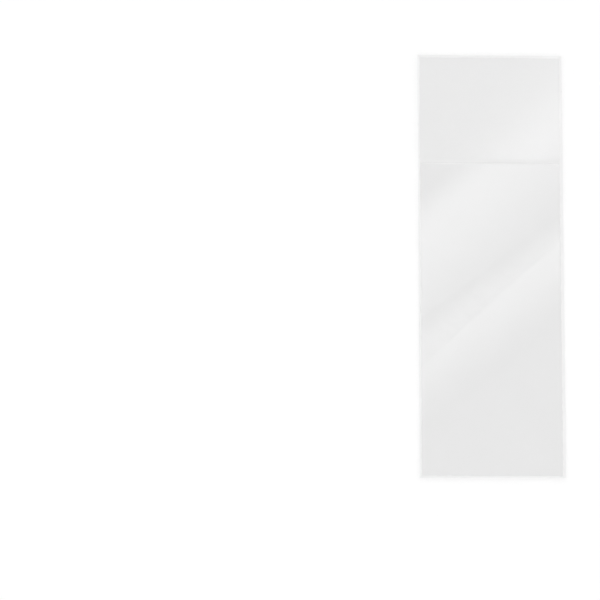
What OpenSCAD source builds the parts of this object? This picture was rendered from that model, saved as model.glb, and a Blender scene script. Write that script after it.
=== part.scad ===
// Microscope slide with cut edges, frosted on both faces at one end.
//
// The slide lies flat, as it does on a microscope's stage. Z = 0 is the plane it
// rests on, X runs across its width and Y along its length, with the frosted end
// at +Y. The origin is the middle of the lower face.
//
// It is one piece of glass. A sheet is scored on its upper face and snapped, so
// each of the four edges has the same section: a shallow frosty band where the
// wheel ran, a clean break below it, and a hair-thin arris on the lower face.

/* [Plate] */
// Length of the plate, along Y
plate_length = 76; // [70:0.5:80]
// Width of the plate, along X
plate_width = 26; // [20:0.5:55]
// Thickness of the glass
plate_thickness = 1; // [0.8:0.05:1.5]

/* [Cut edges] */
// Width of the scored band, measured on the upper face
score_width = 0.4; // [0.1:0.05:0.6]
// Drop of the scored band from the upper face to the break
score_depth = 0.12; // [0.06:0.01:0.25]
// Arris on the lower face, where the break runs out
break_arris = 0.05; // [0.04:0.01:0.15]

/* [Frosted end] */
// Length of the ground field on each face, from the +Y end
frost_length = 19; // [10:0.5:30]
// Depth that grinding takes off each face
frost_depth = 0.02; // [0.005:0.005:0.03]
// Length over which the ground field runs out into the polished face
frost_runout = 0.8; // [0.1:0.05:1]

/* [Hidden] */

// What a cutting tool reaches past the surface that it cuts
overcut = 1;
// The ground field ends here, and its run-out is finished at run_out_y
frost_y = plate_length / 2 - frost_length;
run_out_y = frost_y - frost_runout;
glass_colour = [0.87, 0.89, 0.88, 0.6];

// The upright section of a plate that is `across` wide, with a cut edge at each side.
module cut_section(across) {
    half = across / 2;
    right_side = [
        [half - break_arris, 0],
        [half, break_arris],
        [half, plate_thickness - score_depth],
        [half - score_width, plate_thickness]
    ];
    left_side = [for (i = [len(right_side) - 1 : -1 : 0]) [-right_side[i].x, right_side[i].y]];
    polygon(concat(right_side, left_side));
}

// The plate as it leaves the cutting table. Each pair of edges has its own section,
// and where the two sections meet, their bands are mitred at the square corners.
module cut_plate() {
    intersection() {
        rotate([90, 0, 0])
            linear_extrude(plate_length, center = true)
                cut_section(plate_width);
        rotate([90, 0, 90])
            linear_extrude(plate_width, center = true)
                cut_section(plate_length);
    }
}

// What grinding takes off the upper face: a shallow field across the whole width,
// whose floor climbs back to the polished face over the run-out.
module upper_grinding() {
    floor_z = plate_thickness - frost_depth;
    end_y = plate_length / 2 + overcut;
    rotate([90, 0, 90])
        linear_extrude(plate_width + 2 * overcut, center = true)
            polygon([
                [run_out_y, plate_thickness],
                [frost_y, floor_z],
                [end_y, floor_z],
                [end_y, plate_thickness + overcut],
                [run_out_y, plate_thickness + overcut]
            ]);
}

// The lower face is ground in the same way, so it mirrors the upper one.
module lower_grinding() {
    translate([0, 0, plate_thickness])
        mirror([0, 0, 1])
            upper_grinding();
}

module slide() {
    color(glass_colour)
        difference() {
            cut_plate();
            upper_grinding();
            lower_grinding();
        }
}

slide();
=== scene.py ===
# %% [markdown]
# # A microscope slide in Blender
#
# The object is a plate of clear glass, as long as a finger and 1 mm thick. Its edges
# are cut, so they're a little rough, and one end is ground matt on both faces, so that
# a pencil writes on it. Glass has hardly any colour of its own. What shows is what it
# bends and mirrors, so most of this lesson is about true edges, true surfaces and
# something worth mirroring.
#
# The sizes come from the imported CAD model, which is loaded first.

# %% Load the CAD model
import math

import bmesh
import bpy
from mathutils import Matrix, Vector


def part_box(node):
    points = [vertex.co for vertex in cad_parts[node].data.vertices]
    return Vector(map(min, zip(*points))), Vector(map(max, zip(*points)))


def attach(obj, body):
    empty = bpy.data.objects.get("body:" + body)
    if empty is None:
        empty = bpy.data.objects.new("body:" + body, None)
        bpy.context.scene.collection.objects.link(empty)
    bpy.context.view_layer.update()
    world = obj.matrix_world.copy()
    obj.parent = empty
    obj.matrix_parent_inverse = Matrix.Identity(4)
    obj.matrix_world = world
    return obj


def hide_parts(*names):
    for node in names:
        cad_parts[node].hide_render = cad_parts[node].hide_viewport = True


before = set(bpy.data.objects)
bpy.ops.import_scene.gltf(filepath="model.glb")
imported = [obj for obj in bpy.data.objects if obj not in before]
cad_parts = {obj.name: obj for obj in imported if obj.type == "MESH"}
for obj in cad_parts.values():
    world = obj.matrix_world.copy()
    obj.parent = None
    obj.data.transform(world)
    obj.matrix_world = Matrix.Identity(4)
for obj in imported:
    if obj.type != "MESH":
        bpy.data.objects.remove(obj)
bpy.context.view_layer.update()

# %% [markdown]
# ## Reading the plate's sizes
#
# The CAD node holds the places of its corners, and every size of the plate can be read
# from them: how wide the scored band is, where the break begins, how deep the grinding
# went. Reading them is better than writing them down again, because the two models
# can't then disagree. Blender works in metres, and so does this lesson, unless a
# comment beside a value gives another unit.

# %% Read the sizes from the CAD node
plate_low, plate_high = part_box("slide")
corners = [vertex.co.copy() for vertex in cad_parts["slide"].data.vertices]
hair = 0.000001  # a thousandth of a millimetre: two places closer than this are the same


def same(a, b):
    """True if two lengths differ by less than a hair."""
    return abs(a - b) < hair


side_x = plate_high.x
end_y = plate_high.y
top_z = plate_high.z
base_z = plate_low.z

polished_top = [corner for corner in corners if same(corner.z, top_z)]
on_the_side = [corner for corner in corners if same(corner.x, side_x)]

score_width = side_x - max(corner.x for corner in polished_top)
score_depth = top_z - max(corner.z for corner in on_the_side)
arris = min(corner.z for corner in on_the_side) - base_z
run_out_y = max(corner.y for corner in polished_top)

ground_corners = [corner for corner in corners if corner.y > run_out_y + hair]
ground_top_z = max(corner.z for corner in ground_corners)
grinding_depth = top_z - ground_top_z
ground_y = min(corner.y for corner in ground_corners if same(corner.z, ground_top_z))

print(f"plate {2 * side_x * 1000:.1f} by {2 * end_y * 1000:.1f} by {top_z * 1000:.2f} mm")
print(f"scored band {score_width * 1000:.2f} mm wide and {score_depth * 1000:.2f} mm deep")
print(f"ground field from y = {ground_y * 1000:.1f} mm, {grinding_depth * 1000:.3f} mm deep")

# %% [markdown]
# ## The camera
#
# The slide lies flat and is looked at from nearly straight above, with a long lens, as
# for a catalogue. The camera stands a little to the left of the plate and towards its
# clear end, and is turned so that the plate lies to the right in the picture. The small
# lean matters: of the four cut edges it shows the left and the near one from outside,
# and the other two only through the glass.
#
# A camera looks down its own -Z, so a camera with no turn at all looks straight down.
# Its three turns here are only the few degrees by which it leans. The lens isn't
# shifted: a turn frames the plate just as well, and it stays true from other sides.

# %% Place the camera
camera_height = 0.526  # metres above the table
camera_left = 0.0582  # metres to the left of the plate's middle
camera_near = 0.0729  # metres from the plate's middle towards the clear end
lens_length = 179.3  # millimetres
lean_up = 7.2  # degrees, tips the view towards the frosted end
lean_left = -2.623  # degrees, tips it to the left
roll = -0.026  # degrees
nearest_seen = 0.01  # metres: nothing closer to the camera than this is drawn

camera_data = bpy.data.cameras.new("catalogue_camera")
camera_data.lens = lens_length
camera_data.clip_start = nearest_seen
camera = bpy.data.objects.new("catalogue_camera", camera_data)
bpy.context.scene.collection.objects.link(camera)
camera.location = (-camera_left, -camera_near, camera_height)
camera.rotation_euler = [math.radians(turn) for turn in (lean_up, lean_left, roll)]
bpy.context.scene.camera = camera
print("camera", camera_height, "m above the table, with a lens of", lens_length, "mm")

# %% [markdown]
# ## Helpers for editing
#
# The plate is shaped in edit mode, as one would by hand: select something, then press
# an operator. By hand the selection is made with the mouse. Here it is made by asking
# each face, edge or point where it is, and small helpers do that asking.

# %% Define the helpers that select and move
def select_faces(piece, wanted):
    """Selects only the faces for which wanted(middle, normal) is true, and counts them."""
    bpy.ops.mesh.select_mode(type="FACE")
    bpy.ops.mesh.select_all(action="DESELECT")
    shape = bmesh.from_edit_mesh(piece.data)
    shape.normal_update()
    for face in shape.faces:
        face.select_set(wanted(face.calc_center_median(), face.normal))
    bmesh.update_edit_mesh(piece.data)
    return sum(face.select for face in shape.faces)


def select_edges(piece, wanted):
    """Selects only the edges for which wanted(start, end) is true, and counts them."""
    bpy.ops.mesh.select_mode(type="EDGE")
    bpy.ops.mesh.select_all(action="DESELECT")
    shape = bmesh.from_edit_mesh(piece.data)
    for edge in shape.edges:
        edge.select_set(wanted(edge.verts[0].co, edge.verts[1].co))
    bmesh.update_edit_mesh(piece.data)
    return sum(edge.select for edge in shape.edges)


def move_points(piece, wanted, offset):
    """Moves only the points for which wanted(place) is true, by an offset."""
    bpy.ops.mesh.select_mode(type="VERT")
    bpy.ops.mesh.select_all(action="DESELECT")
    shape = bmesh.from_edit_mesh(piece.data)
    for point in shape.verts:
        point.select_set(wanted(point.co))
    shape.select_flush(True)
    bmesh.update_edit_mesh(piece.data)
    bpy.ops.transform.translate(value=offset)


# %% [markdown]
# ## The plate
#
# A slide is cut from a sheet of drawn glass, so it starts as a block of the sheet's
# thickness. Two bisects mark where the ground field ends and where it has run out.
# They're made now, while the block is simple, and every later step keeps them.

# %% Add the block
bpy.ops.object.select_all(action="DESELECT")
bpy.ops.mesh.primitive_cube_add(
    size=1,
    location=(plate_low + plate_high) / 2,
    scale=plate_high - plate_low,
)
slide = bpy.context.active_object
slide.name = "slide_glass"
slide.data.name = "slide_glass"
bpy.ops.object.transform_apply(location=True, rotation=True, scale=True)

bpy.ops.object.mode_set(mode="EDIT")
for line_y in (run_out_y, ground_y):
    bpy.ops.mesh.select_all(action="SELECT")
    bpy.ops.mesh.bisect(plane_co=(0, line_y, 0), plane_no=(0, 1, 0))
bpy.ops.object.mode_set(mode="OBJECT")
print("block with", len(slide.data.polygons), "faces")

# %% [markdown]
# ## The cut edges
#
# The cutter's wheel runs over the upper face and leaves a shallow crushed band. Below
# it the glass breaks cleanly, and at the lower face the break ends in a hair-thin
# arris. A bevel would make both sides of an edge alike, and these aren't: the band is
# wide and shallow. So each face is inset by the width that it loses, and the rim that
# is left outside is moved down, or up, by the depth. At the square corners the inset
# mitres two bands by itself.

# %% Inset the two faces and move their rims
upright = math.cos(math.radians(4))  # the Z of a normal that leans by 4 degrees, as no wide face does


def on_rim(place):
    """True for a point on the outer wall of the block."""
    return same(abs(place.x), side_x) or same(abs(place.y), end_y)


bpy.ops.object.mode_set(mode="EDIT")
select_faces(slide, lambda middle, normal: normal.z > upright)
bpy.ops.mesh.inset(thickness=score_width, use_boundary=True, use_even_offset=True)
move_points(slide, lambda place: on_rim(place) and same(place.z, top_z), (0, 0, -score_depth))

select_faces(slide, lambda middle, normal: normal.z < -upright)
bpy.ops.mesh.inset(thickness=arris, use_boundary=True, use_even_offset=True)
move_points(slide, lambda place: on_rim(place) and same(place.z, base_z), (0, 0, arris))
bpy.ops.object.mode_set(mode="OBJECT")
print("plate with cut edges has", len(slide.data.polygons), "faces")

# %% [markdown]
# The wheel doesn't bite alike on all four sides, so on two of them the band's inner line
# is moved a little further in. That is easy now, while the line has only its corners and
# the ends of the two bisects.
#
# One more inset leaves a plain frame inside the band. The line will be scalloped later,
# and a point that is pushed past another line folds the face between them: it then
# shows as a hair of black. The frame gives the scallops room.

# %% Widen two bands and leave a frame
further_in = {"right": 0.0002, "frosted": 0.0002}
frame_width = 0.0006


def on_upper_line(place, from_side):
    """True for a point of the band's inner line, by its height and distance from a side."""
    return same(place.z, top_z) and same(from_side, score_width)


bpy.ops.object.mode_set(mode="EDIT")
move_points(slide, lambda place: on_upper_line(place, side_x - place.x), (-further_in["right"], 0, 0))
move_points(slide, lambda place: on_upper_line(place, end_y - place.y), (0, -further_in["frosted"], 0))
select_faces(slide, lambda middle, normal: normal.z > upright and same(middle.z, top_z))
bpy.ops.mesh.inset(thickness=frame_width, use_boundary=True, use_even_offset=True)
bpy.ops.object.mode_set(mode="OBJECT")
widest_band = score_width + max(further_in.values())
print("widest band", round(widest_band * 1000, 2), "mm, with a frame of", frame_width * 1000, "mm")

# %% [markdown]
# ## The ground end
#
# Grinding takes a few hundredths of a millimetre off each face. It is sunk here as
# real depth, because in a low light the step is what tells a ground field from a
# printed one. The field's rim also moves outwards a little, so that it stays on the
# slope of the scored band.

# %% Sink the ground fields
def sink_field(face_z, depth, slope_run):
    """Sinks one face's ground field, and keeps its rim on the slope beside it."""
    def in_field(place):
        return same(place.z, face_z) and place.y > ground_y - hair

    move_points(slide, lambda place: in_field(place) and place.y > ground_y + hair, (0, slope_run, 0))
    move_points(slide, lambda place: in_field(place) and place.x > 0, (slope_run, 0, -depth))
    move_points(slide, lambda place: in_field(place) and place.x < 0, (-slope_run, 0, -depth))


bpy.ops.object.mode_set(mode="EDIT")
sink_field(top_z, grinding_depth, score_width * grinding_depth / score_depth)
sink_field(base_z, -grinding_depth, grinding_depth)
bpy.ops.object.mode_set(mode="OBJECT")
print("ground field sunk by", round(grinding_depth * 1e6), "micrometres on both faces")

# %% [markdown]
# ## Short lengths along the edges
#
# Under the wheel the glass comes off in tiny shells, so the band's inner line isn't
# ruled: it is scalloped, and no two scallops are alike. A line needs points before it
# can be moved, so the band and the break are first cut into lengths as short as a
# flake. First of all it has to be said which edges run along a side. The mitres at the
# corners don't, because they go as far one way as the other.

# %% Say which edges run along a side
straight = 3  # an edge runs along an axis if it goes this many times as far on it as off it


def along_side(start, end):
    """True for an edge that runs along Y beside a long side."""
    beside = abs(start.x) > side_x - widest_band - hair and start.x * end.x > 0
    off_axis = abs(end.x - start.x) + abs(end.z - start.z)
    return beside and abs(end.y - start.y) > straight * off_axis


def along_end(start, end):
    """True for an edge that runs along X beside a short side."""
    beside = abs(start.y) > end_y - widest_band - hair and start.y * end.y > 0
    off_axis = abs(end.y - start.y) + abs(end.z - start.z)
    return beside and abs(end.x - start.x) > straight * off_axis


# %% [markdown]
# Subdivide makes only so many cuts in one go, so it is pressed again until no length is
# too long. Each time only the longest edges are cut, and the lengths come out alike.

# %% Cut the edges into short lengths
flake_length = 0.00022
longest_kept = flake_length * 1.5
most_cuts = 100  # in one go
worth_cutting = 0.6  # of the longest length: what is shorter than this waits for its turn


def longest_length(piece, runs_along):
    """The length of the longest edge that runs along a side."""
    shape = bmesh.from_edit_mesh(piece.data)
    return max(
        edge.calc_length() for edge in shape.edges
        if runs_along(edge.verts[0].co, edge.verts[1].co)
    )


def split_lengths(piece, runs_along):
    """Cuts the edges that run along a side until each is about as short as a flake."""
    longest = longest_length(piece, runs_along)
    while longest > longest_kept:
        too_long = longest * worth_cutting
        select_edges(
            piece,
            lambda start, end: runs_along(start, end) and (end - start).length > too_long,
        )
        cuts = min(most_cuts, max(1, round(longest / flake_length) - 1))
        bpy.ops.mesh.subdivide(number_cuts=cuts, ngon=True)
        longest = longest_length(piece, runs_along)


bpy.ops.object.mode_set(mode="EDIT")
split_lengths(slide, along_side)
split_lengths(slide, along_end)
bpy.ops.object.mode_set(mode="OBJECT")
print("edges cut into", len(slide.data.polygons), "faces")

# %% [markdown]
# The band is still one flat strip across its slope. Two cuts across give it a middle
# that can be uneven too.

# %% Cut the band across
cuts_across = 2


def down_the_band(start, end):
    """True for an edge that runs from the upper face down the slope of the band."""
    lower, upper = sorted((start.z, end.z))
    return same(lower, top_z - score_depth) and upper > ground_top_z - hair


bpy.ops.object.mode_set(mode="EDIT")
edges_cut = select_edges(slide, down_the_band)
bpy.ops.mesh.subdivide(number_cuts=cuts_across, ngon=True)
bpy.ops.object.mode_set(mode="OBJECT")
print(edges_cut, "edges cut across the band, the plate has", len(slide.data.polygons), "faces")

# %% [markdown]
# ## Patterns that push
#
# Moving thousands of points by hand would be hopeless, and a Displace modifier moves
# them by a pattern. It reads a texture of the older kind, which has its own settings
# and no nodes. A cell pattern makes scallops, and soft clouds make the band's surface
# uneven. A vertex group says which points the modifier may touch, and how strongly.
# Each modifier is applied at once, so that the next step finds the points where they
# really are.

# %% Make the two patterns, and the helper that pushes
scallops = bpy.data.textures.new("flake_scallops", type="VORONOI")
scallops.noise_scale = 0.0007

crush = bpy.data.textures.new("crushed_surface", type="CLOUDS")
crush.noise_scale = 0.0003
crush.noise_depth = 2


def push(piece, group_name, weight_at, texture, direction, reach, middle=0):
    """Pushes points along a direction by a reach, times their weight and the texture's value.

    Points where the texture has its middle value stay, and darker ones go the other way.
    Without a texture, the weight alone says how far each point goes.
    """
    group = piece.vertex_groups.new(name=group_name)
    for vertex in piece.data.vertices:
        group.add([vertex.index], weight_at(vertex.co), "REPLACE")
    modifier = piece.modifiers.new(group_name, "DISPLACE")
    modifier.vertex_group = group_name
    modifier.texture = texture
    modifier.texture_coords = "LOCAL"
    modifier.direction = direction
    modifier.mid_level = middle
    modifier.strength = reach
    bpy.ops.object.modifier_apply(modifier=group_name)
    piece.vertex_groups.remove(piece.vertex_groups[group_name])


print("patterns:", scallops.name, "and", crush.name)

# %% [markdown]
# The scallops wander in and out across the line, and across is another way on each of
# the four sides. So the sides are pushed one after the other. At a corner two of them
# meet, so each side's weight fades to nothing there, and the corner keeps its mitre.

# %% Tell the four sides apart
corner_fade = 0.0006  # how far from a corner's mitre a side is pushed fully


def share_of_long_side(place):
    """0 at a corner and along the short sides, rising to 1 along the long ones."""
    nearer = (end_y - abs(place.y)) - (side_x - abs(place.x))
    return min(1, max(0, nearer / corner_fade))


def share_of_short_side(place):
    """0 at a corner and along the long sides, rising to 1 along the short ones."""
    nearer = (side_x - abs(place.x)) - (end_y - abs(place.y))
    return min(1, max(0, nearer / corner_fade))


# For each side: how fully a point belongs to it, the axis across it, and the way inwards
sides = {
    "right": (lambda place: share_of_long_side(place) if place.x > 0 else 0, "X", -1),
    "left": (lambda place: share_of_long_side(place) if place.x < 0 else 0, "X", 1),
    "frosted": (lambda place: share_of_short_side(place) if place.y > 0 else 0, "Y", -1),
    "clear": (lambda place: share_of_short_side(place) if place.y < 0 else 0, "Y", 1),
}
print("sides:", ", ".join(sides))

# %% [markdown]
# The line is pushed both ways from where the wheel ran. The slope of the band is only
# pushed down, because crushing takes glass away and never adds any.

# %% Push the score's line and the band's surface
flake_reach = 0.0002  # from the cell pattern's darkest value to its lightest
middle_flake = 0.6  # the cell pattern's average value, at which a point stays
crush_reach = 0.00003


def on_score_line(place):
    """True for a point on the inner line of the band, where the upper face begins."""
    from_edge = min(side_x - abs(place.x), end_y - abs(place.y))
    return from_edge < widest_band + frame_width / 2 and place.z > ground_top_z - hair


def in_band(place):
    """True for a point on the slope of the band, but not on either of its rims."""
    return top_z - score_depth + hair < place.z < ground_top_z - hair


for side, (share_at, axis, inwards) in sides.items():
    push(
        slide, "score_" + side,
        lambda place: share_at(place) if on_score_line(place) else 0,
        scallops, axis, inwards * flake_reach, middle=middle_flake,
    )

push(slide, "band_surface", in_band, crush, "Z", -crush_reach)
deepest_scallop = flake_reach * max(middle_flake, 1 - middle_flake)
print("score lines scalloped by up to", round(deepest_scallop * 1e6), "micrometres")

# %% [markdown]
# ## The break
#
# Below the score the glass snaps. The crack's surface is rippled, and it never runs
# quite straight down. The walls have points only at their top and foot so far, so they
# get three more rows between these.

# %% Add rows of points to the walls
rows_added = 3
break_height = top_z - score_depth - base_z - arris


def up_the_wall(start, end):
    """True for an edge that climbs the whole wall."""
    return on_rim(start) and on_rim(end) and same(abs(end.z - start.z), break_height)


bpy.ops.object.mode_set(mode="EDIT")
edges_cut = select_edges(slide, up_the_wall)
bpy.ops.mesh.subdivide(number_cuts=rows_added, ngon=True)
bpy.ops.object.mode_set(mode="OBJECT")
print(edges_cut, "edges cut on the break, the plate has", len(slide.data.polygons), "faces")

# %% [markdown]
# Now each wall is pushed twice. Soft clouds ripple the rows between the top and the
# foot. A push with no texture would be the same everywhere, and its weight makes it
# grow from nothing at the top to its full reach at the foot, so the wall leans in under
# the plate by a few hundredths of a millimetre. The top row stays, which keeps the
# plate at its full size.

# %% Ripple the walls and lean them in
ripples = bpy.data.textures.new("break_ripples", type="CLOUDS")
ripples.noise_scale = 0.0006
ripples.noise_depth = 1
ripple_reach = 0.000025
lean_reach = 0.00006


def height_on_wall(place):
    """0 at the wall's foot and below it, rising to 1 at its top."""
    return min(1, max(0, (place.z - base_z - arris) / break_height))


def ripple_share(place):
    """0 at the wall's foot and its top, and 1 halfway between them."""
    height = height_on_wall(place)
    return 4 * height * (1 - height)


from_wall = {
    "right": lambda place: side_x - place.x,
    "left": lambda place: side_x + place.x,
    "frosted": lambda place: end_y - place.y,
    "clear": lambda place: end_y + place.y,
}
for side, (_, axis, inwards) in sides.items():
    depth_at = from_wall[side]
    push(
        slide, "ripple_" + side,
        lambda place: ripple_share(place) if depth_at(place) < hair else 0,
        ripples, axis, inwards * ripple_reach,
    )
    push(
        slide, "lean_" + side,
        lambda place: 1 - height_on_wall(place) if depth_at(place) < arris + hair else 0,
        texture=None, direction=axis, reach=inwards * lean_reach,
    )
print("walls lean in by", round(lean_reach * 1e6), "micrometres at the foot")

# %% [markdown]
# ## Smooth edges, flat faces
#
# The ripples and flakes are curved, so their small faces are shaded smooth, with a
# crease wherever two of them meet at a sharp angle. The wide faces have to stay flat in
# the shading too. Otherwise the curve of a flake would run on across the whole plate.

# %% Shade the edges smooth and the wide faces flat
crease = math.radians(25)
bpy.ops.object.select_all(action="DESELECT")
slide.select_set(True)
bpy.context.view_layer.objects.active = slide
bpy.ops.object.shade_smooth_by_angle(angle=crease)
bpy.ops.object.mode_set(mode="EDIT")
wide_faces = select_faces(slide, lambda middle, normal: abs(normal.z) > upright)
bpy.ops.mesh.faces_shade_flat()
bpy.ops.object.mode_set(mode="OBJECT")
print(wide_faces, "faces shaded flat, of", len(slide.data.polygons))

# %% [markdown]
# ## A grain that the finishes share
#
# Four finishes lie on this one piece of glass: polished, ground, scored and broken.
# All of them are uneven at some small scale, so that unevenness is built once, as a
# node group with a size that each finish sets for itself. It reads Object coordinates,
# so the pattern stays with the glass and is measured in true metres.
#
# Two helpers come first. One adds a node and sets it in the same line, and the other
# makes an empty group with its sockets.

# %% Define the helpers for node trees
def add_node(tree, kind, **settings):
    """Adds a node and sets what it is told."""
    node = tree.nodes.new(kind)
    for name, value in settings.items():
        setattr(node, name, value)
    return node


def new_group(name, inputs, outputs):
    """Makes an empty node group with named number sockets."""
    group = bpy.data.node_groups.new(name, "ShaderNodeTree")
    for socket, value in inputs.items():
        made = group.interface.new_socket(socket, in_out="INPUT", socket_type="NodeSocketFloat")
        made.default_value = value
    for socket in outputs:
        group.interface.new_socket(socket, in_out="OUTPUT", socket_type="NodeSocketFloat")
    return group


# %% [markdown]
# The group mixes two noises: fine grain, and slow clouds, which are far larger. A noise
# is as fine as its Scale says, and Scale is 1 divided by the size of a grain. The
# clouds are also put out by themselves, because a trace of colour or a smear follows
# them rather than the grain.

# %% Build the grain group
grains_in_a_cloud = 12  # how many times wider than a grain the clouds are


def make_grain_group():
    """A grain of a given size in metres, with slow clouds in it."""
    group = new_group("fine_grain", {"Grain size": 0.0002, "Cloudiness": 0.3}, ["Grain", "Clouds"])
    link = group.links.new
    given = add_node(group, "NodeGroupInput")
    result = add_node(group, "NodeGroupOutput")
    place = add_node(group, "ShaderNodeTexCoord")
    per_metre = add_node(group, "ShaderNodeMath", operation="DIVIDE")
    per_metre.inputs[0].default_value = 1
    slower = add_node(group, "ShaderNodeMath", operation="DIVIDE")
    slower.inputs[1].default_value = grains_in_a_cloud
    grain = add_node(group, "ShaderNodeTexNoise")
    grain.inputs["Detail"].default_value = 2
    clouds = add_node(group, "ShaderNodeTexNoise")
    clouds.inputs["Detail"].default_value = 3
    mixed = add_node(group, "ShaderNodeMix", data_type="FLOAT")
    link(given.outputs["Grain size"], per_metre.inputs[1])
    link(per_metre.outputs[0], grain.inputs["Scale"])
    link(per_metre.outputs[0], slower.inputs[0])
    link(slower.outputs[0], clouds.inputs["Scale"])
    link(place.outputs["Object"], grain.inputs["Vector"])
    link(place.outputs["Object"], clouds.inputs["Vector"])
    link(given.outputs["Cloudiness"], mixed.inputs["Factor"])
    link(grain.outputs["Fac"], mixed.inputs["A"])
    link(clouds.outputs["Fac"], mixed.inputs["B"])
    link(mixed.outputs["Result"], result.inputs["Grain"])
    link(clouds.outputs["Fac"], result.inputs["Clouds"])
    return group


fine_grain = make_grain_group()
print("made the group", fine_grain.name, "with", len(fine_grain.nodes), "nodes")

# %% [markdown]
# ## Glass as a material
#
# Each finish is a Principled BSDF set to glass: full Transmission, and the refraction
# index of window glass, which is what slides are made of. What differs is the
# roughness, the bump and a trace of colour. The helpers below place the grain in a
# material and turn it into one of those three.

# %% Define the helpers for glass finishes
window_glass_ior = 1.515


def new_glass(name):
    """Makes a glass material, and returns it with its node tree and its shader."""
    material = bpy.data.materials.new(name)
    material.use_nodes = True
    shader = material.node_tree.nodes["Principled BSDF"]
    shader.inputs["IOR"].default_value = window_glass_ior
    shader.inputs["Transmission Weight"].default_value = 1
    return material, material.node_tree, shader


def add_grain(tree, size, cloudiness):
    """Places the grain group in a material, with grains of a size in metres."""
    node = add_node(tree, "ShaderNodeGroup", node_tree=fine_grain)
    node.inputs["Grain size"].default_value = size
    node.inputs["Cloudiness"].default_value = cloudiness
    return node


def add_range(tree, source, low, high, start=0.3, stop=0.7):
    """Turns a pattern's values from start to stop into values from low to high."""
    node = add_node(tree, "ShaderNodeMapRange")
    node.inputs["From Min"].default_value = start
    node.inputs["From Max"].default_value = stop
    node.inputs["To Min"].default_value = low
    node.inputs["To Max"].default_value = high
    tree.links.new(source, node.inputs["Value"])
    return node.outputs["Result"]


def add_tint(tree, source, darker, lighter):
    """Blends two colours by a pattern."""
    node = add_node(tree, "ShaderNodeMix", data_type="RGBA")
    node.inputs["A"].default_value = (*darker, 1)
    node.inputs["B"].default_value = (*lighter, 1)
    tree.links.new(source, node.inputs["Factor"])
    return node.outputs["Result"]


def add_product(tree, one, other):
    """Multiplies two values."""
    node = add_node(tree, "ShaderNodeMath", operation="MULTIPLY")
    tree.links.new(one, node.inputs[0])
    tree.links.new(other, node.inputs[1])
    return node.outputs[0]


def add_bump(tree, source, height):
    """Turns a pattern into a bumpy normal, as high as the height in metres."""
    node = add_node(tree, "ShaderNodeBump")
    node.inputs["Distance"].default_value = height
    tree.links.new(source, node.inputs["Height"])
    return node.outputs["Normal"]


# %% [markdown]
# ## Polished glass
#
# A slide's clear part is as smooth as glass gets. It looks a little darker than the
# card under it, because each of its faces turns some of the light away. Its grey tint
# darkens it further: a little of that is what the glass itself swallows, and most is
# painted shade. Two things keep it from looking computed: drawn sheet has waves far too
# low to feel, and wiping leaves smears that show only where they dull a reflection.

# %% Make the polished glass
smeared_roughness = 0.03
wave_height = 0.000002


def make_polished_glass():
    """Clear and nearly flat glass with wiping smears."""
    material, tree, shader = new_glass("polished_glass")
    clouds = add_grain(tree, size=0.0006, cloudiness=0.6).outputs["Clouds"]
    # Most of this grey is painted shade; only a little of it is what the glass swallows
    tint = add_tint(tree, clouds, darker=(0.875, 0.875, 0.875), lighter=(0.89, 0.89, 0.89))
    smears = add_range(tree, clouds, low=0, high=smeared_roughness, start=0.45, stop=0.75)
    waves = add_bump(tree, clouds, wave_height)
    tree.links.new(tint, shader.inputs["Base Color"])
    tree.links.new(smears, shader.inputs["Roughness"])
    tree.links.new(waves, shader.inputs["Normal"])
    return material


polished_glass = make_polished_glass()
print("made", polished_glass.name)

# %% [markdown]
# ## Ground glass
#
# Fine grit leaves pits a tenth of a millimetre wide, and they scatter whatever passes
# through. That is Roughness. Yet a ground face still glows softly when it is looked at
# in a lamp's mirror direction, and one roughness can't do both. So the glass gets a
# Coat, which lays a second and much smoother reflection over the rough body.
#
# The field doesn't end at a ruled line either. Over the run-out the sheen gets weaker,
# and in its last part the pits and the roughness fade to nothing. Both are shares that
# are read from Y.

# %% Make the ground glass
pit_size = 0.00012
pit_depth = 0.0000005
sheen_roughness = 0.08
sheen_ior = 1.9  # higher than the glass's own, for a sheen that shows
last_sheen = 0.75  # the coat's weight where the run-out ends
last_pits = 0.3  # the share of the run-out over which the pits fade


def make_ground_glass():
    """Matt glass with a soft sheen, fading out where the grinding runs out."""
    material, tree, shader = new_glass("ground_glass")
    shader.inputs["Coat Roughness"].default_value = sheen_roughness
    shader.inputs["Coat IOR"].default_value = sheen_ior
    pits = add_grain(tree, pit_size, cloudiness=0.1)
    grain = pits.outputs["Grain"]
    clouds = pits.outputs["Clouds"]

    place = add_node(tree, "ShaderNodeTexCoord")
    axes = add_node(tree, "ShaderNodeSeparateXYZ")
    tree.links.new(place.outputs["Object"], axes.inputs[0])
    along = axes.outputs["Y"]
    pits_end_y = run_out_y + last_pits * (ground_y - run_out_y)
    sheen = add_range(tree, along, low=last_sheen, high=1, start=run_out_y, stop=ground_y)
    pitted_share = add_range(tree, along, low=0, high=1, start=run_out_y, stop=pits_end_y)

    # The tint is a touch below white: a little painted shade that darkens the ground field
    tint = add_tint(tree, clouds, darker=(0.972, 0.972, 0.972), lighter=(0.982, 0.982, 0.982))
    matt = add_range(tree, grain, low=0.3, high=0.5, start=0.4, stop=0.6)
    pitted = add_bump(tree, add_product(tree, grain, pitted_share), pit_depth)
    tree.links.new(tint, shader.inputs["Base Color"])
    tree.links.new(add_product(tree, matt, pitted_share), shader.inputs["Roughness"])
    tree.links.new(sheen, shader.inputs["Coat Weight"])
    tree.links.new(pitted, shader.inputs["Normal"])
    return material


ground_glass = make_ground_glass()
print("made", ground_glass.name)

# %% [markdown]
# ## Scored glass
#
# Under the wheel the glass is crushed to something like fine snow: full of cracks, and
# so it is white as much as it is clear. Half its Transmission is taken away, which
# leaves that half scattering like a pale powder. Its bump is the strongest of the four.

# %% Make the scored glass
crumb_size = 0.00008
crumb_height = 0.00003
clear_share = 0.5


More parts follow.
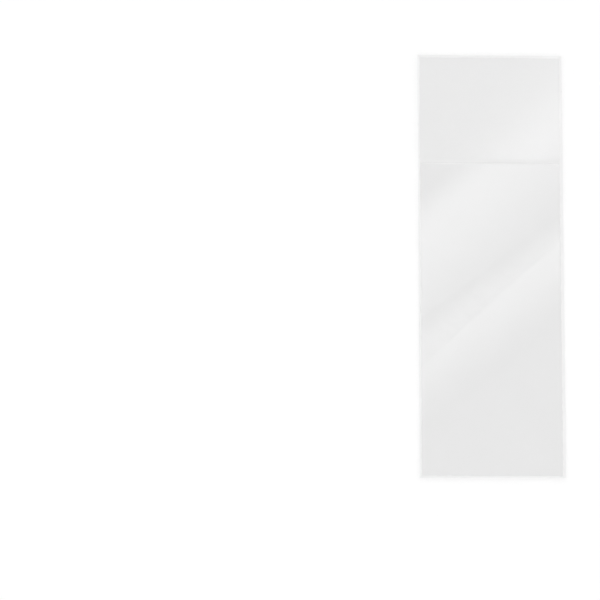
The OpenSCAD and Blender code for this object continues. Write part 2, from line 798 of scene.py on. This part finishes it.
def make_scored_glass():
    """Crushed glass, half clear and half white."""
    material, tree, shader = new_glass("scored_glass")
    shader.inputs["Transmission Weight"].default_value = clear_share
    grain = add_grain(tree, crumb_size, cloudiness=0.3).outputs["Grain"]
    tint = add_tint(tree, grain, darker=(0.9, 0.9, 0.9), lighter=(0.94, 0.94, 0.94))
    roughness = add_range(tree, grain, low=0.35, high=0.7)
    crumbs = add_bump(tree, grain, crumb_height)
    tree.links.new(tint, shader.inputs["Base Color"])
    tree.links.new(roughness, shader.inputs["Roughness"])
    tree.links.new(crumbs, shader.inputs["Normal"])
    return material


scored_glass = make_scored_glass()
print("made", scored_glass.name)

# %% [markdown]
# ## Broken glass
#
# The break is nearly as bright as the polished faces. The mesh has its larger ripples,
# and a bump adds finer ones. Whoever looks into it looks along the plate, through far
# more glass than from above, and so it is the one place where window glass shows its
# faint green.

# %% Make the broken glass
fine_ripple_size = 0.0004
fine_ripple_height = 0.000005


def make_broken_glass():
    """Bright rippled glass with a trace of green."""
    material, tree, shader = new_glass("broken_glass")
    fine_ripples = add_grain(tree, fine_ripple_size, cloudiness=0.5)
    grain = fine_ripples.outputs["Grain"]
    clouds = fine_ripples.outputs["Clouds"]
    tint = add_tint(tree, clouds, darker=(0.93, 0.952, 0.942), lighter=(0.97, 0.984, 0.977))
    roughness = add_range(tree, grain, low=0.03, high=0.12)
    rippled = add_bump(tree, grain, fine_ripple_height)
    tree.links.new(tint, shader.inputs["Base Color"])
    tree.links.new(roughness, shader.inputs["Roughness"])
    tree.links.new(rippled, shader.inputs["Normal"])
    return material


broken_glass = make_broken_glass()
print("made", broken_glass.name)

# %% [markdown]
# ## A finish for each face
#
# The four materials go into four slots of the one piece. Which slot a face takes
# depends on where it is: faces that look straight up or down are polished or ground,
# and of the others the high ones are the scored band and the low ones the break.

# %% Give each face its finish
finishes = [polished_glass, ground_glass, scored_glass, broken_glass]
for finish in finishes:
    slide.data.materials.append(finish)


def finish_at(middle, normal):
    """The finish of a face at a place and with a normal."""
    if abs(normal.z) > upright:
        return ground_glass if middle.y > run_out_y else polished_glass
    return scored_glass if middle.z > top_z - score_depth else broken_glass


for face in slide.data.polygons:
    face.material_index = finishes.index(finish_at(face.center, face.normal))
for slot_number, finish in enumerate(finishes):
    count = sum(face.material_index == slot_number for face in slide.data.polygons)
    print(finish.name, "on", count, "faces")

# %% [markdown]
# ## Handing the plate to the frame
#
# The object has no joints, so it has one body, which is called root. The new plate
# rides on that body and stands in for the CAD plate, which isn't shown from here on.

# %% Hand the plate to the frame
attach(slide, "root")
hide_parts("slide")
print("triangles:", sum(len(face.vertices) - 2 for face in slide.data.polygons))

# %% [markdown]
# ## The table
#
# The slide lies on white card. Real card is white because it throws back nearly all its
# light, but here that light would have to find its way down through the glass and up
# again, which a render works out slowly and with speckles. So the card is grey to the
# light, and most of its white is a glow. Light Path lets the glow be seen only by rays
# from the camera, and by those that were mirrored by the glass or passed through it.
# It lights nothing, and the grey part still takes the plate's shadow.
#
# Two flat faces at the very same height flicker, so the card lies a hair lower than
# the plate's lower face.

# %% Make the table
table_size = 3
table_gap = 0.00003
card_grey = 0.25
card_glow = 0.76


def make_white_card():
    """Grey card with a glow that is seen but lights nothing."""
    material = bpy.data.materials.new("white_card")
    material.use_nodes = True
    tree = material.node_tree
    card = tree.nodes["Principled BSDF"]
    card.inputs["Base Color"].default_value = (card_grey, card_grey, card_grey, 1)
    card.inputs["Roughness"].default_value = 1
    card.inputs["Specular IOR Level"].default_value = 0

    ray = add_node(tree, "ShaderNodeLightPath")
    seen = ray.outputs["Is Camera Ray"]
    for kind in ("Is Glossy Ray", "Is Transmission Ray"):
        either = add_node(tree, "ShaderNodeMath", operation="MAXIMUM")
        tree.links.new(seen, either.inputs[0])
        tree.links.new(ray.outputs[kind], either.inputs[1])
        seen = either.outputs[0]
    strength = add_node(tree, "ShaderNodeMath", operation="MULTIPLY")
    strength.inputs[1].default_value = card_glow
    glow = add_node(tree, "ShaderNodeEmission")
    both = add_node(tree, "ShaderNodeAddShader")
    tree.links.new(seen, strength.inputs[0])
    tree.links.new(strength.outputs[0], glow.inputs["Strength"])
    tree.links.new(card.outputs[0], both.inputs[0])
    tree.links.new(glow.outputs[0], both.inputs[1])
    tree.links.new(both.outputs[0], tree.nodes["Material Output"].inputs["Surface"])
    return material


bpy.ops.object.select_all(action="DESELECT")
bpy.ops.mesh.primitive_plane_add(size=table_size, location=(0, 0, base_z - table_gap))
table = bpy.context.active_object
table.name = "white_table"
table.data.materials.append(make_white_card())
print("table", table_size, "m wide, with a glow of", card_glow)

# %% [markdown]
# ## The light tent
#
# A studio lights glass with a tent of white cloth, and the glass mirrors the tent. This
# world is such a tent. A ColorRamp reads how high a direction points, and gives the
# cloth's level there: white down at the horizon, dimmer above it, a bright ring at half
# height, and nearly dark overhead. The ring does most of the lighting. The dimmer parts
# keep the plate a little darker than the table, so that its outline shows.
#
# The ramp reads the sine of the height, because that is the Z of a direction. Its
# colours hold shares of the brightest level, and the world's Strength holds that level.

# %% Make the world
tent_levels = [  # degrees above the horizon, and the cloth's level there
    (0, 1), (7, 1),
    (13, 0.75), (20, 0.6), (38, 0.6),
    (48, 1.85), (62, 1.85),
    (70, 0.12), (90, 0.07),
]
brightest = max(level for degrees, level in tent_levels)

world = bpy.data.worlds.new("light_tent")
bpy.context.scene.world = world
world.use_nodes = True
tent = world.node_tree
background = tent.nodes["Background"]
background.inputs["Strength"].default_value = brightest
direction = add_node(tent, "ShaderNodeTexCoord")
parts = add_node(tent, "ShaderNodeSeparateXYZ")
levels = add_node(tent, "ShaderNodeValToRGB")
tent.links.new(direction.outputs["Generated"], parts.inputs[0])
tent.links.new(parts.outputs["Z"], levels.inputs["Fac"])
tent.links.new(levels.outputs["Color"], background.inputs["Color"])

ramp = levels.color_ramp
while len(ramp.elements) < len(tent_levels):
    ramp.elements.new(0.5)  # anywhere, since the next loop gives each its place
for element, (degrees, level) in zip(ramp.elements, tent_levels):
    element.position = math.sin(math.radians(degrees))
    share = level / brightest
    element.color = (share, share, share, 1)
print("tent with", len(ramp.elements), "levels, the brightest is", brightest)

# %% [markdown]
# A world lights things at a plain level when level white card looks white under it, no
# more and no less. That can be worked out: each height counts by how squarely its
# light falls on the card.

# %% Measure the tent
def level_card_brightness(steps=1000):
    """How bright level white card looks under the tent, where 1 is white."""
    total = 0
    for step in range(steps):
        height = math.sqrt((step + 0.5) / steps)  # equal steps of this square light a card equally
        total += ramp.evaluate(height)[0] * brightest / steps
    return total


print("level white card looks", round(level_card_brightness(), 3))

# %% [markdown]
# ## Two strip lamps overhead
#
# What makes flat glass look like glass is something to mirror. Two long lamps hang
# across the dark top of the tent, and the plate shows them as two slanting bands. Each
# lamp brightens quickly from one side and fades slowly to the other, so its band has
# one firmer border and one soft one.
#
# A flat mirror shows a thing where the way in and the way out make the same angle, so
# the place of a lamp can be worked out backwards, from where its band should lie.

# %% Work out what a place on the plate mirrors
lamp_height = 0.9


def mirrored_place(x, y):
    """The place at the lamps' height that the camera sees mirrored at a place on the plate."""
    on_plate = Vector((x, y, top_z))
    from_camera = on_plate - camera.location
    rise = (lamp_height - top_z) / (camera_height - top_z)
    return Vector((x + from_camera.x * rise, y + from_camera.y * rise, lamp_height))


print("the plate's middle mirrors", [round(value, 3) for value in mirrored_place(0, 0)])

# %% [markdown]
# A lamp's glow changes across its width. The plane's own UV map tells where: V is 1
# along the edge where the band starts and 0 where it ends. One smooth step climbs from
# the start, another falls to the end, and their product is the strength.

# %% Define the lamps' glow
def make_lamp_glow(name, climb_share, level):
    """A glow that climbs over a first share of the lamp's width and falls over the rest."""
    material = bpy.data.materials.new(name)
    material.use_nodes = True
    tree = material.node_tree
    tree.nodes.remove(tree.nodes["Principled BSDF"])
    where = add_node(tree, "ShaderNodeTexCoord")
    across = add_node(tree, "ShaderNodeSeparateXYZ")
    climb = add_node(tree, "ShaderNodeMapRange", interpolation_type="SMOOTHSTEP")
    climb.inputs["From Min"].default_value = 1
    climb.inputs["From Max"].default_value = 1 - climb_share
    fall = add_node(tree, "ShaderNodeMapRange", interpolation_type="SMOOTHSTEP")
    fall.inputs["From Max"].default_value = 1 - climb_share
    fall.inputs["To Max"].default_value = level
    emission = add_node(tree, "ShaderNodeEmission")
    tree.links.new(where.outputs["UV"], across.inputs[0])
    tree.links.new(across.outputs["Y"], climb.inputs["Value"])
    tree.links.new(across.outputs["Y"], fall.inputs["Value"])
    strength = add_product(tree, climb.outputs["Result"], fall.outputs["Result"])
    tree.links.new(strength, emission.inputs["Strength"])
    tree.links.new(emission.outputs["Emission"], tree.nodes["Material Output"].inputs["Surface"])
    return material


# %% [markdown]
# Each lamp is a plane whose four corners are carried to their mirrored places. Its band
# is told by where it starts on the left side of the plate and on the right one, and by
# its width. The lamp runs on past both sides, so that neither of its ends shows.

# %% Hang the lamps
overhang = 1  # how far a lamp's band runs on past each side, in half widths of the plate


def hang_strip_lamp(name, left_y, right_y, width, climb_share, level):
    """Hangs a lamp whose band starts on a line across the plate, from left_y to right_y."""
    slope = (right_y - left_y) / (2 * side_x)
    middle_y = (left_y + right_y) / 2
    reach = side_x * (1 + overhang)
    bpy.ops.object.select_all(action="DESELECT")
    bpy.ops.mesh.primitive_plane_add(size=1)
    lamp = bpy.context.active_object
    lamp.name = name
    for vertex in lamp.data.vertices:
        x = math.copysign(reach, vertex.co.x)
        start_y = middle_y + slope * x
        vertex.co = mirrored_place(x, start_y if vertex.co.y > 0 else start_y - width)
    lamp.data.materials.append(make_lamp_glow(name + "_glow", climb_share, level))
    print(name, "hangs", lamp_height, "m above the table")


hang_strip_lamp(
    "upper_lamp", left_y=0.0133, right_y=0.0369, width=0.032, climb_share=0.25, level=1.05,
)
hang_strip_lamp(
    "lower_lamp", left_y=-0.00996, right_y=0.0102, width=0.0205, climb_share=0.26, level=1,
)

# %% [markdown]
# ## Colour and bounces
#
# The Standard view shows colours as they're written. Two settings of Cycles matter for
# glass. Filter Glossy blurs what is mirrored after a first bounce, which would smear
# the fine lines along the edges, so it is off. And light that enters the plate at an
# edge runs on between the two faces, bouncing many times before it gets out. With the
# usual limit it would be lost on the way, and leave the edges too dark.

# %% Set the view and the bounces
most_bounces = 32
scene = bpy.context.scene
scene.view_settings.view_transform = "Standard"
scene.cycles.blur_glossy = 0
scene.cycles.max_bounces = most_bounces
scene.cycles.transmission_bounces = most_bounces
scene.cycles.glossy_bounces = most_bounces
scene.cycles.diffuse_bounces = most_bounces
print("light may bounce", most_bounces, "times")
